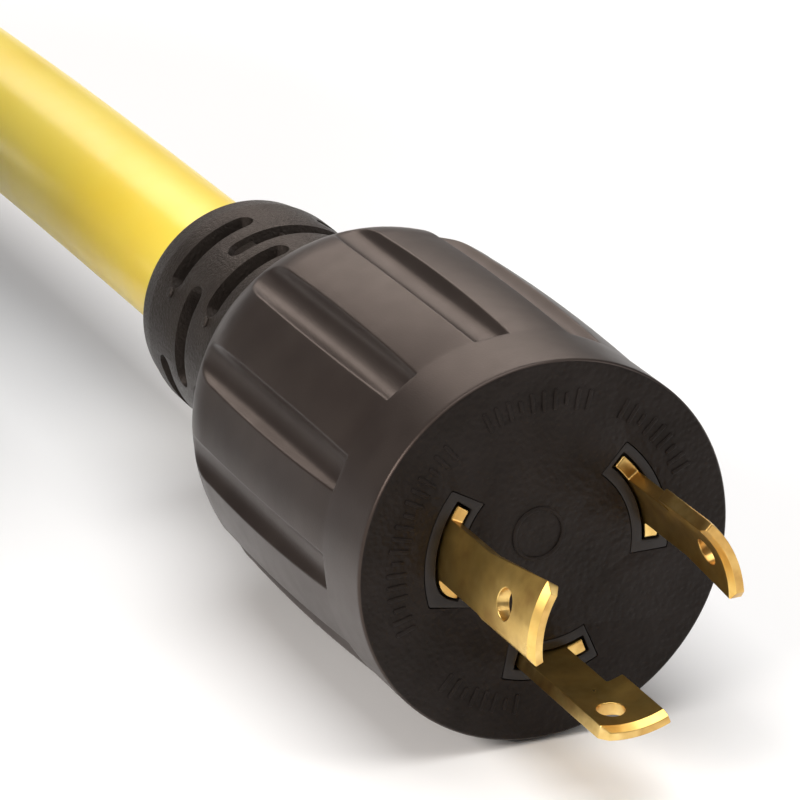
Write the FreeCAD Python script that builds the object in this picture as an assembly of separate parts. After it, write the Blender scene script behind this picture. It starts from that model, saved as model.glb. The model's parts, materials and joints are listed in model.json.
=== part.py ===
import FreeCAD, Part
import math
import os
from FreeCAD import Vector

# Shore power cord: a moulded twist-lock plug (three curved blades) and a matching
# moulded connector, joined by a heavy three-core cord.  The plug and the connector
# share one layout, so both come from the same functions.  All sizes in millimetres.
#
# Row frame: +X is the way the plug's blades point, +Z is up, the plug lies on Z = 0.
# Each device also has its own axial coordinate s: 0 at its face, negative to its rear.

# ---- driving dimensions: moulded bodies ----
BAND_R = 24.0            # smooth front band
SWELL_R = 24.6           # widest point of the ribbed grip
BAND_L = 10.7            # length of the smooth front band
FACE_EDGE = 0.4          # chamfer of the face's rim
SWELL_S = 31.67          # where the grip is widest
SHOULDER_S = 46.5        # where the rear shoulder starts to round over
SHOULDER_R = 24.3
SHOULDER_MID = (57.6, 21.15)  # a point half way round the shoulder: s and radius
BODY_L = 63.4            # face to the rear edge of the body
REAR_LIP = 0.3           # the body's rear edge stands this far off the strain relief
FLUTES = 12
FLUTE_PHASE = 5.5        # degrees from +Y towards +Z
FLUTE_W = 5.2
FLUTE_DEPTH = 1.7
FLUTE_FLOOR_W = 2.6
CONNECTOR_EXTRA = 6.0    # the connector's body is longer than the plug's by this
EXTRA_AT_SWELL = 0.585    # part of that length in front of the widest point

# ---- driving dimensions: strain relief ----
RELIEF_R = 15.2
RELIEF_SLEEVE_R = 13.0   # the part that the body is moulded over
RELIEF_SLEEVE_L = 9.0
RELIEF_L = 29.6          # behind the body
RELIEF_TAPER_L = 3.9
RELIEF_END_R = 14.4
RELIEF_BURIED = 2.4      # full-radius collar inside the body's rear edge
SLOT_ROWS = (8.5, 14.3, 20.6)   # behind the body
SLOT_W = 3.4
SLOT_DEPTH = 3.2
SLOTS_PER_ROW = 4
SLOT_ARC = 54.0
SLOT_PHASE = 125.0
SLOT_STAGGER = 45.0

# ---- driving dimensions: inside ----
FRONT_WALL = 2.5
BRIDGE_R = 17.0
PLUG_BRIDGE_L = 11.0
CONNECTOR_BRIDGE_L = 33.0
MOULD_CONE_S = 46.0
MOULD_END_S = 52.0
MOULD_END_R = 12.0
CORE_R = 2.45
COPPER_R = 1.5
CORE_CIRCLE_R = 3.3
BARREL_R = 2.7
BARREL_CIRCLE_R = 12.0
BARREL_L = 12.0
STRIP_BARE = 3.0         # bare copper between barrel and insulation
CORE_STRAIGHT = 7.0      # a core runs straight this far before it turns to the cord
FILLER_BACK = 1.0        # the filler starts this far behind the jacket's end

# ---- driving dimensions: blades (angles in degrees from +Y towards +Z) ----
BLADE_T = 1.6
BLADE_OUTER_R = 14.55
BLADE_L = 22.0
GROUND_OUTER_R = 13.9
GROUND_L = 24.5
GROUND_MIDDLE_DEG = 170.0
GROUND_BEND_DEG = 185.0  # where the root of the ground blade turns inward
GROUND_SOLE = (-13.0, -3.2)   # a point of the turned-in foot's lower face: y and z
GROUND_FOOT_SLOPE = 20.0      # degrees by which the foot runs downward
GROUND_FOOT_END_Y = -11.35
SHOULDER_H = 10.6        # height of the locking shoulder over the face
TIP_FLAT = 1.0           # the slanted edge ends this far before the tip
NOTCH_FLOOR = 0.1        # the notched neck starts this far in front of the face
HOLE_R = 1.78
HOLE_S = 17.0
TAIL_HALF = 12.0
TAIL_START = 4.0
TAIL_L = 16.0
BARREL_LAP = 2.0         # the tail runs into its barrel by this
SLOT_GAP = 0.35
SLOT_GAP_DEPTH = 1.6
BLADES = {
    "neutral": {"root": (-1.5, 46.5), "neck": (6.9, 35.5), "tip": (1.0, 46.5), "hole": 21.2},
    "hot": {"root": (-104.5, -68.0), "neck": (-104.5, -77.3), "tip": (-104.5, -68.0),
            "hole": -89.5},
    "ground": {"root": (145.0, 198.0), "neck": (152.5, 184.0), "tip": (145.0, 188.0),
               "hole": 168.2},
}
# Each collar: inner and outer radius, the angles of its outer and of its inner edge's ends.
COLLARS = {
    "neutral": (11.2, 16.1, (-7.5, 50.0), (-10.6, 51.0)),
    "hot": (11.3, 16.2, (-110.4, -64.1), (-114.3, -63.2)),
    "ground": (11.0, 15.7, (140.7, 196.2), (136.5, 208.8)),
}

# ---- driving dimensions: contacts of the connector ----
CONTACT_T = 0.8
CONTACT_GAP = 0.1        # between a contact leg and the path of the blade
CONTACT_FRONT = 6.0
CONTACT_BACK = 26.0
CONTACT_TAIL_L = 4.0
CONTACT_TO_BARREL = 1.0
CONTACT_SHORTER = 3.0    # degrees that a contact is narrower than its slot, each side
CAVITY_GAP = 0.5

# ---- driving dimensions: cord ----
CORD_R = 10.1
JACKET_T = 2.1
JACKET_IN_BODY = 47.0    # the jacket is stripped from here forward
CORD_L = 7620.0
PLUG_FACE_X = 34.25
AXIS_Z = SWELL_R
COIL_CENTRE = (-160.0, -159.0)
COIL_MEAN_R = 103.5      # middle of the turns
COIL_LAYERS = 4
COIL_TURNS = 10.9
CLIMB_TURNS = 0.5        # part of a turn in which the cord climbs to the next layer
TIE_W = 25.0
TIE_T = 1.4
TIE_ANGLES = (5.0, 80.0)
COIL_CORNER_R = 9.8

# ---- how far pieces and cutters reach past what they join or cut ----
LAP = 0.5
CLEAR = 1.0
CUT_HALF = 4.0           # half the depth of a cut through a blade

# Route of the cord from the plug's strain relief to the coil, set by hand.
LEAD_ROUTE = [
    (-58.75, 0.0, 24.6),
    (-98.0, 0.0, 24.6),
    (-149.0, -0.2, 24.2),
    (-198.0, -0.8, 23.0),
    (-239.0, -18.0, 20.4),
    (-270.5, -49.5, 17.0),
    (-287.5, -91.0, 13.6),
    (-287.6, -135.5, 11.7),
]
# Route from the coil's top layer to the connector's strain relief, set by hand.
TAIL_ROUTE = [
    (-251.0, -69.0, 74.5),
    (-273.0, -103.6, 80.5),
    (-281.0, -143.8, 87.0),
    (-274.0, -184.0, 93.0),
    (-253.0, -219.5, 98.5),
    (-221.2, -245.3, 103.5),
    (-182.4, -258.5, 106.8),
    (-147.0, -258.5, 106.8),
]

PLUG_LENGTH = BODY_L + RELIEF_L
CONNECTOR_LENGTH = PLUG_LENGTH + CONNECTOR_EXTRA
TURNS_PER_LAYER = (COIL_TURNS - (COIL_LAYERS - 1) * CLIMB_TURNS) / COIL_LAYERS
COIL_IN_R = COIL_MEAN_R - (TURNS_PER_LAYER + 1) * CORD_R
COIL_OUT_R = COIL_MEAN_R + (TURNS_PER_LAYER + 1) * CORD_R
COIL_H = TIE_T + COIL_LAYERS * 2 * CORD_R


# ---- small geometry helpers (device frame: s along +X) ----
def polar(s, radius, degrees):
    """A point at axial place s, on a circle about the device's axis."""
    a = math.radians(degrees)
    return Vector(s, radius * math.cos(a), radius * math.sin(a))


def line(a, b):
    return Part.LineSegment(a, b).toShape()


def arc(a, middle, b):
    return Part.Arc(a, middle, b).toShape()


def turned(edges):
    """Revolve a closed half outline, drawn in the XZ plane, about the X axis."""
    face = Part.Face(Part.Wire(edges))
    return face.revolve(Vector(0, 0, 0), Vector(1, 0, 0), 360)


def turned_outline(points):
    """Revolve a closed outline of straight edges, given as (s, radius) pairs."""
    corners = [Vector(s, 0, radius) for s, radius in points]
    return turned([line(a, b) for a, b in zip(corners, corners[1:] + corners[:1])])


def cylinder(radius, s_from, s_to, centre=(0.0, 0.0)):
    base = Vector(min(s_from, s_to), centre[0], centre[1])
    return Part.makeCylinder(radius, abs(s_to - s_from), base, Vector(1, 0, 0))


def ring_piece(r_in, r_out, outer, inner, s_from, s_to):
    """A piece of a tube's wall; its outer and inner edge each run between two angles."""
    s = min(s_from, s_to)
    edges = [
        arc(polar(s, r_out, outer[0]), polar(s, r_out, sum(outer) / 2), polar(s, r_out, outer[1])),
        line(polar(s, r_out, outer[1]), polar(s, r_in, inner[1])),
        arc(polar(s, r_in, inner[1]), polar(s, r_in, sum(inner) / 2), polar(s, r_in, inner[0])),
        line(polar(s, r_in, inner[0]), polar(s, r_out, outer[0])),
    ]
    return Part.Face(Part.Wire(edges)).extrude(Vector(abs(s_to - s_from), 0, 0))


def sector(r_in, r_out, low, high, s_from, s_to):
    """A piece of a tube's wall between two angles."""
    return ring_piece(r_in, r_out, (low, high), (low, high), s_from, s_to)


def mirrored(shape):
    """The same shape seen in a mirror through the device's vertical plane."""
    return shape.mirror(Vector(0, 0, 0), Vector(0, 1, 0))


def fused(shapes):
    return shapes[0].multiFuse(shapes[1:]).removeSplitter()


def tidy(shape):
    """The single solid of a boolean's result."""
    return shape.Solids[0] if len(shape.Solids) == 1 else shape


# ---- paths of straight runs and tangent arcs ----
def rounded_path(points):
    """Edges through hand-set points, each corner rounded as far as its runs allow."""
    points = [Vector(*p) for p in points]
    edges, start, radii = [], points[0], []
    for before, corner, after in zip(points, points[1:], points[2:]):
        back, ahead = before - corner, after - corner
        shorter = min(back.Length, ahead.Length)
        back.normalize()
        ahead.normalize()
        half_turn = (math.pi - back.getAngle(ahead)) / 2
        setback = 0.45 * shorter
        radius = setback / math.tan(half_turn)
        first, last = corner + back * setback, corner + ahead * setback
        inward = back + ahead
        inward.normalize()
        middle = corner + inward * (radius / math.cos(half_turn) - radius)
        edges += [line(start, first), arc(first, middle, last)]
        start = last
        radii.append(radius)
    edges.append(line(start, points[-1]))
    return edges, radii


def swept(edges, radius):
    """A round bar along a path."""
    start = edges[0].Vertexes[0].Point
    direction = edges[0].tangentAt(edges[0].FirstParameter)
    ring = Part.Wire(Part.makeCircle(radius, start, direction))
    return Part.Wire(edges).makePipeShell([ring], True, False, 2)


# ---- moulded body ----
def body_edges(stretch):
    """Outer half outline of a moulded body, closed along the axis."""
    rear = -(BODY_L + stretch)
    shoulder = -(SHOULDER_S + stretch)
    c = {
        "axis_front": Vector(0, 0, 0),
        "face": Vector(0, 0, BAND_R - FACE_EDGE),
        "rim": Vector(-FACE_EDGE, 0, BAND_R),
        "band": Vector(-BAND_L, 0, BAND_R),
        "swell": Vector(-SWELL_S - stretch * EXTRA_AT_SWELL, 0, SWELL_R),
        "shoulder": Vector(shoulder, 0, SHOULDER_R),
        "round": Vector(-SHOULDER_MID[0] - stretch, 0, SHOULDER_MID[1]),
        "rear": Vector(rear, 0, RELIEF_R + REAR_LIP),
        "axis_rear": Vector(rear, 0, 0),
    }
    return [
        line(c["axis_front"], c["face"]),
        line(c["face"], c["rim"]),
        line(c["rim"], c["band"]),
        arc(c["band"], c["swell"], c["shoulder"]),
        arc(c["shoulder"], c["round"], c["rear"]),
        line(c["rear"], c["axis_rear"]),
        line(c["axis_rear"], c["axis_front"]),
    ]


def flute_cutter(stretch):
    """One lengthways groove of the grip: square at the front, open at the rear."""
    floor_r = SWELL_R - FLUTE_DEPTH
    half, half_floor = FLUTE_W / 2, FLUTE_FLOOR_W / 2
    top_r = SWELL_R + CLEAR
    flare = half + (half - half_floor) / FLUTE_DEPTH * CLEAR
    outline = [(-half_floor, floor_r), (half_floor, floor_r), (flare, top_r), (-flare, top_r)]
    s = -(BODY_L + stretch) - CLEAR
    corners = [Vector(s, y, z) for y, z in outline]
    face = Part.Face(Part.makePolygon(corners + corners[:1]))
    cutter = face.extrude(Vector(-BAND_L - s, 0, 0))
    cutter.rotate(Vector(0, 0, 0), Vector(1, 0, 0), -90)
    return cutter


def moulded_body(stretch, core, windows):
    """The overmoulded grip, hollow for its core, with a window for each collar."""
    body = turned(body_edges(stretch))
    cutters = []
    for k in range(FLUTES):
        cutter = flute_cutter(stretch)
        angle = FLUTE_PHASE + k * 360.0 / FLUTES
        cutter.rotate(Vector(0, 0, 0), Vector(1, 0, 0), angle)
        cutters.append(cutter)
    body = body.cut(cutters)
    return tidy(body.cut([core] + windows))


def core_space(stretch):
    """The hollow of a body: bridge, inner mould and strain relief sleeve."""
    sleeve_start = MOULD_END_S + stretch
    collar_start = BODY_L + stretch - RELIEF_BURIED
    return turned_outline([
        (-FRONT_WALL, 0),
        (-FRONT_WALL, BRIDGE_R),
        (-MOULD_CONE_S - stretch, BRIDGE_R),
        (-sleeve_start, MOULD_END_R),
        (-sleeve_start, RELIEF_SLEEVE_R),
        (-collar_start, RELIEF_SLEEVE_R),
        (-collar_start, RELIEF_R),
        (-BODY_L - stretch - CLEAR, RELIEF_R),
        (-BODY_L - stretch - CLEAR, 0),
    ])


def strain_relief(stretch):
    """Flexible sleeve round the cord: staggered rows of slots let it bend."""
    body_rear = BODY_L + stretch
    rear = body_rear + RELIEF_L
    collar_start = body_rear - RELIEF_BURIED
    sleeve_start = MOULD_END_S + stretch
    relief = turned_outline([
        (-sleeve_start, CORD_R),
        (-sleeve_start, RELIEF_SLEEVE_R),
        (-collar_start, RELIEF_SLEEVE_R),
        (-collar_start, RELIEF_R),
        (-rear + RELIEF_TAPER_L, RELIEF_R),
        (-rear, RELIEF_END_R),
        (-rear, CORD_R),
    ])
    slots = []
    for row, behind in enumerate(SLOT_ROWS):
        s = -(body_rear + behind)
        for k in range(SLOTS_PER_ROW):
            middle = SLOT_PHASE + (row % 2) * SLOT_STAGGER + k * 360.0 / SLOTS_PER_ROW
            slots.append(sector(RELIEF_R - SLOT_DEPTH, RELIEF_R + CLEAR,
                                middle - SLOT_ARC / 2, middle + SLOT_ARC / 2,
                                s - SLOT_W / 2, s + SLOT_W / 2))
    return tidy(relief.cut(slots))


# ---- blades, collars and contacts ----
def outer_radius(name):
    return GROUND_OUTER_R if name == "ground" else BLADE_OUTER_R


def middle_angle(name):
    low, high = BLADES[name]["root"]
    return (low + high) / 2 if name != "ground" else GROUND_MIDDLE_DEG


def ground_root(low, s_from, s_to, grow):
    """The ground blade's root: a curved strip whose lower end is bent inward into a foot."""
    s = min(s_from, s_to)
    r_out = GROUND_OUTER_R + grow
    r_in = GROUND_OUTER_R - BLADE_T - grow
    low -= math.degrees(grow / r_out)
    foot = polar(0, 1, -GROUND_FOOT_SLOPE)
    up = polar(0, 1, 90 - GROUND_FOOT_SLOPE)
    sole = Vector(s, *GROUND_SOLE) - up * grow
    top = sole + up * (BLADE_T + 2 * grow)

    bend = polar(s, r_out, GROUND_BEND_DEG)
    down = polar(0, 1, GROUND_BEND_DEG + 90)
    run = (sole - bend).dot(up) / down.dot(up)
    corner = bend + down * run
    half_turn = down.getAngle(foot) / 2
    inward = foot - down
    inward.normalize()
    bend_r = run / math.tan(half_turn)
    bend_middle = corner + inward * (bend_r / math.cos(half_turn) - bend_r)
    heel = corner + foot * run

    toe_low = sole + foot * ((GROUND_FOOT_END_Y + grow - sole.y) / foot.y)
    toe_high = top + foot * ((GROUND_FOOT_END_Y + grow - top.y) / foot.y)
    half_b = top.y * foot.y + top.z * foot.z
    c = top.y ** 2 + top.z ** 2 - r_in ** 2
    inner_end = top - foot * (half_b + math.sqrt(half_b ** 2 - c))
    inner_end_deg = math.degrees(math.atan2(inner_end.z, inner_end.y)) % 360
    edges = [
        arc(polar(s, r_out, low), polar(s, r_out, (low + GROUND_BEND_DEG) / 2), bend),
        arc(bend, bend_middle, heel),
        line(heel, toe_low),
        line(toe_low, toe_high),
        line(toe_high, inner_end),
        arc(inner_end, polar(s, r_in, (low + inner_end_deg) / 2), polar(s, r_in, low)),
        line(polar(s, r_in, low), polar(s, r_out, low)),
    ]
    return Part.Face(Part.Wire(edges)).extrude(Vector(abs(s_to - s_from), 0, 0))


def strip(name, part, s_from, s_to, grow=0.0):
    """One width of a blade: its root, its notched neck or its tip."""
    low, high = BLADES[name][part]
    if name == "ground" and part == "root":
        return ground_root(low, s_from, s_to, grow)
    r_out = outer_radius(name) + grow
    spread = math.degrees(grow / r_out)
    r_in = outer_radius(name) - BLADE_T - grow
    return sector(r_in, r_out, low - spread, high + spread, s_from, s_to)


def ramp_cutter(name, length):
    """The wedge that leaves a slanted edge from the neck out to the tip."""
    neck_low = BLADES[name]["neck"][0]
    tip_low = BLADES[name]["tip"][0]
    r = outer_radius(name) - BLADE_T / 2
    along = polar(0, 1, neck_low)
    across = polar(0, 1, neck_low + 90)
    reach = r * math.sin(math.radians(neck_low - tip_low))
    far = -reach - CLEAR
    corners = [(SHOULDER_H - CLEAR, 0.0), (SHOULDER_H, 0.0), (length - TIP_FLAT, -reach),
               (length - TIP_FLAT, far), (SHOULDER_H - CLEAR, far)]
    base = along * (r - CUT_HALF)
    points = [Vector(s, 0, 0) + base + across * t for s, t in corners]
    return Part.Face(Part.makePolygon(points + points[:1])).extrude(along * 2 * CUT_HALF)


def around_axis(name, radius, s_from, s_to):
    """A round bar in line with one blade's crimp barrel."""
    centre = polar(0, BARREL_CIRCLE_R, middle_angle(name))
    return cylinder(radius, s_from, s_to, (centre.y, centre.z))


def barrel(name, s_front):
    """Crimp barrel's outside, and the copper's room in it."""
    s_back = s_front - BARREL_L
    return [around_axis(name, radius, s_back, s_front) for radius in (BARREL_R, COPPER_R)]


def bare_wire(name, barrel_front):
    """The stripped end of a core: in the barrel and just behind it."""
    return around_axis(name, COPPER_R, barrel_front - BARREL_L - STRIP_BARE, barrel_front)


def tail(name, s_from, s_to):
    middle = middle_angle(name)
    r_out = outer_radius(name)
    return sector(r_out - BLADE_T, r_out, middle - TAIL_HALF, middle + TAIL_HALF, s_from, s_to)


def blade(name):
    """A stamped brass blade: notched neck, locking head, hole, tail and crimp barrel.

    The hot blade is notched on one side only, so its other edge is straight.
    """
    length = GROUND_L if name == "ground" else BLADE_L
    barrel_front = BARREL_LAP - TAIL_L
    outer, inner = barrel(name, barrel_front)
    tip = strip(name, "tip", SHOULDER_H, length)
    if BLADES[name]["tip"][0] < BLADES[name]["neck"][0]:
        tip = tip.cut(ramp_cutter(name, length))
    pieces = [
        strip(name, "root", -TAIL_START, NOTCH_FLOOR),
        strip(name, "neck", 0, SHOULDER_H + LAP),
        tip,
        tail(name, -TAIL_L, -TAIL_START + LAP),
        outer,
    ]
    hole_deg = BLADES[name]["hole"]
    hole_base = polar(HOLE_S, outer_radius(name) - CUT_HALF, hole_deg)
    hole = Part.makeCylinder(HOLE_R, 2 * CUT_HALF, hole_base, polar(0, 1, hole_deg))
    return tidy(fused(pieces).cut([hole, inner]))


def collar(name):
    """The bridge's collar that fills a window of the face round one blade."""
    return ring_piece(*COLLARS[name], -FRONT_WALL, 0)


def contact(name):
    """A folded spring contact: two curved legs, a web and a crimp barrel."""
    low, high = BLADES[name]["root"]
    if name == "ground":
        high = GROUND_BEND_DEG
    low, high = low + CONTACT_SHORTER, high - CONTACT_SHORTER
    r_out = outer_radius(name) + CONTACT_GAP
    r_in = outer_radius(name) - BLADE_T - CONTACT_GAP
    outer, inner = barrel(name, -CONTACT_BACK - CONTACT_TO_BARREL)
    pieces = [
        sector(r_out, r_out + CONTACT_T, low, high, -CONTACT_BACK, -CONTACT_FRONT),
        sector(r_in - CONTACT_T, r_in, low, high, -CONTACT_BACK, -CONTACT_FRONT),
        sector(r_in - CONTACT_T, r_out + CONTACT_T, low, high,
               -CONTACT_BACK - CONTACT_T, -CONTACT_BACK),
        tail(name, -CONTACT_BACK - CONTACT_TAIL_L, -CONTACT_BACK),
        outer,
    ]
    return tidy(fused(pieces).cut(inner))


def contact_cavity(name):
    """The room that a blade and the spring contact take behind the face."""
    low, high = BLADES[name]["root"]
    r_out = outer_radius(name) + CONTACT_GAP + CONTACT_T + CAVITY_GAP
    r_in = outer_radius(name) - BLADE_T - CONTACT_GAP - CONTACT_T - CAVITY_GAP
    spread = math.degrees(CAVITY_GAP / r_out)
    return sector(r_in, r_out, low - spread, high + spread,
                  -CONTACT_BACK - CONTACT_T, -CONTACT_FRONT + CLEAR)


# ---- wires inside a device ----
def core_path(name, s_start, stretch, length):
    """Centre line of one insulated core, from its barrel into the cord's jacket."""
    angle = middle_angle(name)
    return [
        polar(s_start, BARREL_CIRCLE_R, angle),
        polar(s_start - CORE_STRAIGHT, BARREL_CIRCLE_R, angle),
        polar(-JACKET_IN_BODY - stretch, CORE_CIRCLE_R, angle),
        polar(-length, CORE_CIRCLE_R, angle),
    ]


def wiring(barrel_front, stretch, length):
    """Copper and insulation of each core, jacket end and filler."""
    pieces, bars = {}, []
    back = barrel_front - BARREL_L
    for name in BLADES:
        start = back - STRIP_BARE
        edges, _ = rounded_path([tuple(p) for p in core_path(name, start, stretch, length)])
        bar = swept(edges, CORE_R)
        copper = fused([bare_wire(name, barrel_front), swept(edges, COPPER_R)])
        pieces["copper_" + name] = tidy(copper)
        pieces["insulation_" + name] = tidy(bar.cut(swept(edges, COPPER_R)))
        bars.append(bar)
    s_strip = -JACKET_IN_BODY - stretch
    pieces["jacket_end"] = cylinder(CORD_R, s_strip, -length).cut(
        cylinder(CORD_R - JACKET_T, s_strip, -length))
    pieces["filler"] = tidy(cylinder(CORD_R - JACKET_T, s_strip - FILLER_BACK, -length).cut(bars))
    return pieces, bars


def inner_mould(bridge_back, stretch, others):
    """First moulding, which locks the crimps, the cores and the jacket together."""
    solid = turned_outline([
        (-bridge_back, 0),
        (-bridge_back, BRIDGE_R),
        (-MOULD_CONE_S - stretch, BRIDGE_R),
        (-MOULD_END_S - stretch, MOULD_END_R),
        (-MOULD_END_S - stretch, 0),
    ])
    result = solid.cut(others)
    return max(result.Solids, key=lambda piece: piece.Volume)


# ---- the two devices ----
def plug():
    """Pieces of the plug in its own frame."""
    pieces = {}
    barrel_front = BARREL_LAP - TAIL_L
    wires, bars = wiring(barrel_front, 0.0, PLUG_LENGTH)
    blades = {name: blade(name) for name in BLADES}
    gaps = [strip(name, "root", -SLOT_GAP_DEPTH, CLEAR, SLOT_GAP) for name in BLADES]
    collars = [collar(name) for name in BLADES]
    bridge = fused([cylinder(BRIDGE_R, -PLUG_BRIDGE_L, -FRONT_WALL)] + collars)
    pieces["blade_bridge"] = tidy(bridge.cut(gaps + list(blades.values())))
    for name, shape in blades.items():
        pieces["blade_" + name] = shape
    jacket = cylinder(CORD_R, -JACKET_IN_BODY, -PLUG_LENGTH)
    bare = [bare_wire(name, barrel_front) for name in BLADES]
    pieces["inner_mould"] = inner_mould(
        PLUG_BRIDGE_L, 0.0, list(blades.values()) + bare + bars + [jacket])
    pieces["strain_relief"] = strain_relief(0.0)
    pieces["body"] = moulded_body(0.0, core_space(0.0), collars)
    pieces.update(wires)
    return pieces


def connector():
    """Pieces of the connector in its own frame: the plug's mirror image, with slots."""
    stretch = CONNECTOR_EXTRA
    pieces = {}
    barrel_front = -CONTACT_BACK - CONTACT_TO_BARREL
    wires, bars = wiring(barrel_front, stretch, CONNECTOR_LENGTH)
    contacts = {name: contact(name) for name in BLADES}
    mouths = [strip(name, "root", -CONTACT_FRONT, CLEAR, SLOT_GAP) for name in BLADES]
    cavities = [contact_cavity(name) for name in BLADES]
    collars = [collar(name) for name in BLADES]
    bridge = fused([cylinder(BRIDGE_R, -CONNECTOR_BRIDGE_L, -FRONT_WALL)] + collars)
    barrels = [around_axis(name, BARREL_R, barrel_front - BARREL_L, barrel_front)
               for name in BLADES]
    bridge = bridge.cut(mouths + cavities + list(contacts.values()) + barrels)
    pieces["contact_bridge"] = max(bridge.Solids, key=lambda piece: piece.Volume)
    for name, shape in contacts.items():
        pieces["contact_" + name] = shape
    jacket = cylinder(CORD_R, -JACKET_IN_BODY - stretch, -CONNECTOR_LENGTH)
    bare = [bare_wire(name, barrel_front) for name in BLADES]
    pieces["inner_mould"] = inner_mould(
        CONNECTOR_BRIDGE_L, stretch, barrels + bare + bars + [jacket])
    pieces["strain_relief"] = strain_relief(stretch)
    pieces["body"] = moulded_body(stretch, core_space(stretch), collars)
    pieces.update(wires)
    return {name: mirrored(shape) for name, shape in pieces.items()}


# ---- cord outside the devices ----
def measured_tube(name, points):
    """A cord tube along a route; prints its bends and compares its volume."""
    edges, radii = rounded_path(points)
    tube = swept(edges, CORD_R)
    length = sum(edge.Length for edge in edges)
    expected = math.pi * CORD_R ** 2 * length
    print(name, "length %.1f" % length, "radii", [round(r) for r in radii],
          "least in diameters %.1f" % (min(radii) / (2 * CORD_R)),
          "volume ratio %.4f" % (tube.Volume / expected), "valid", tube.isValid())
    return tube, length


def ring_section(in_r, out_r, low, high, corner):
    """Rounded rectangle in the XZ plane, for a ring about the Z axis."""
    c = corner
    k = c * (1 - math.sqrt(0.5))
    p = [Vector(in_r + c, 0, low), Vector(out_r - c, 0, low), Vector(out_r, 0, low + c),
         Vector(out_r, 0, high - c), Vector(out_r - c, 0, high), Vector(in_r + c, 0, high),
         Vector(in_r, 0, high - c), Vector(in_r, 0, low + c)]
    m = [Vector(out_r - k, 0, low + k), Vector(out_r - k, 0, high - k),
         Vector(in_r + k, 0, high - k), Vector(in_r + k, 0, low + k)]
    return Part.Wire([line(p[0], p[1]), arc(p[1], m[0], p[2]), line(p[2], p[3]),
                      arc(p[3], m[1], p[4]), line(p[4], p[5]), arc(p[5], m[2], p[6]),
                      line(p[6], p[7]), arc(p[7], m[3], p[0])])


def coil_tie(angle):
    """A strap round the bundle of turns, pressed in so that it is flush underneath."""
    outer = Part.Face(ring_section(COIL_IN_R - TIE_T, COIL_OUT_R + TIE_T, 0.0,
                                   COIL_H + TIE_T, COIL_CORNER_R + TIE_T))
    inner = Part.Face(ring_section(COIL_IN_R, COIL_OUT_R, TIE_T, COIL_H, COIL_CORNER_R))
    width = math.degrees(TIE_W / COIL_MEAN_R)
    band = outer.cut(inner).revolve(Vector(0, 0, 0), Vector(0, 0, 1), width)
    band.rotate(Vector(0, 0, 0), Vector(0, 0, 1), angle - width / 2)
    band.translate(Vector(COIL_CENTRE[0], COIL_CENTRE[1], 0))
    return band


def coil(others):
    """Outer shape of the wound cord, with room for the ties and the two loose ends."""
    section = Part.Face(ring_section(COIL_IN_R, COIL_OUT_R, 0.0, COIL_H, COIL_CORNER_R))
    ring = section.revolve(Vector(0, 0, 0), Vector(0, 0, 1), 360)
    ring.translate(Vector(COIL_CENTRE[0], COIL_CENTRE[1], 0))
    return tidy(ring.cut(others))


def cord():
    """Cord pieces outside the devices, in the row frame."""
    lead, lead_length = measured_tube("cord_lead", LEAD_ROUTE)
    tail_tube, tail_length = measured_tube("cord_tail", TAIL_ROUTE)
    ties = [coil_tie(angle) for angle in TIE_ANGLES]
    wound = COIL_TURNS * 2 * math.pi * COIL_MEAN_R
    print("wound %.0f, in all %.0f of %.0f" % (wound, lead_length + wound + tail_length, CORD_L))
    return {
        "cord_lead": lead,
        "cord_coil": coil(ties + [lead, tail_tube]),
        "cord_tail": tail_tube,
        "coil_ties": Part.Compound(ties),
    }


def placed(pieces, prefix, face):
    """Move a device's pieces so that its face is at the given point."""
    named = {}
    for name, shape in pieces.items():
        shape = shape.copy()
        shape.translate(Vector(*face))
        named[prefix + name] = shape
    return named


def build():
    nodes = placed(plug(), "plug_", (PLUG_FACE_X, 0.0, AXIS_Z))
    x, y, z = TAIL_ROUTE[-1]
    nodes.update(placed(connector(), "connector_", (x + CONNECTOR_LENGTH, y, z)))
    nodes.update(cord())
    return nodes


def main():
    os.makedirs("parts", exist_ok=True)
    for name, shape in sorted(build().items()):
        box = shape.BoundBox
        print("%-28s solids %d valid %s volume %9.1f  x %7.2f %7.2f  y %7.2f %7.2f  z %6.2f %6.2f" % (
            name, len(shape.Solids), shape.isValid(), shape.Volume,
            box.XMin, box.XMax, box.YMin, box.YMax, box.ZMin, box.ZMax))
        shape.exportStep(os.path.join("parts", name + ".step"))


main()
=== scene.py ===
"""Shore power cord: the looks of the plug, the cord, its put-away coil and the far connector.

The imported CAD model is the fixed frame.  Lengths below are in millimetres, as in the CAD model.
Each moulded device has its own axial coordinate s: 0 at its face and negative towards its rear,
and its angles run from +Y towards +Z.
"""

import json
import math

import bmesh
import bpy
from mathutils import Matrix, Vector
from mathutils.geometry import convex_hull_2d


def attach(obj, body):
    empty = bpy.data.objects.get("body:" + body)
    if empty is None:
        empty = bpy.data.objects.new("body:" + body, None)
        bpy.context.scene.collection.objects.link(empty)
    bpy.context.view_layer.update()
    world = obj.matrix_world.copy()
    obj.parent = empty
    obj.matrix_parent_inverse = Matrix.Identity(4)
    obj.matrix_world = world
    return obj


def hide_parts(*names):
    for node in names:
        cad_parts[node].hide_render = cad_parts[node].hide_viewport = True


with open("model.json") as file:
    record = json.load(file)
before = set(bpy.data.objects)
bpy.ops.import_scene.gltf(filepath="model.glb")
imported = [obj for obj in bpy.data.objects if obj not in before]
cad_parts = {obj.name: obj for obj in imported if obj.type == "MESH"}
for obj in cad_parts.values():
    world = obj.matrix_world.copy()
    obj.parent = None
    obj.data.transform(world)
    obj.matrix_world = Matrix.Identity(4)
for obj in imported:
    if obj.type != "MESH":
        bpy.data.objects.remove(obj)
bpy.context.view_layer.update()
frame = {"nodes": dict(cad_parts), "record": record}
MM = 0.001
MOUNTS = {m["name"]: Vector(m["pos_m"]) / MM for m in frame["record"]["mounts"]}

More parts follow.
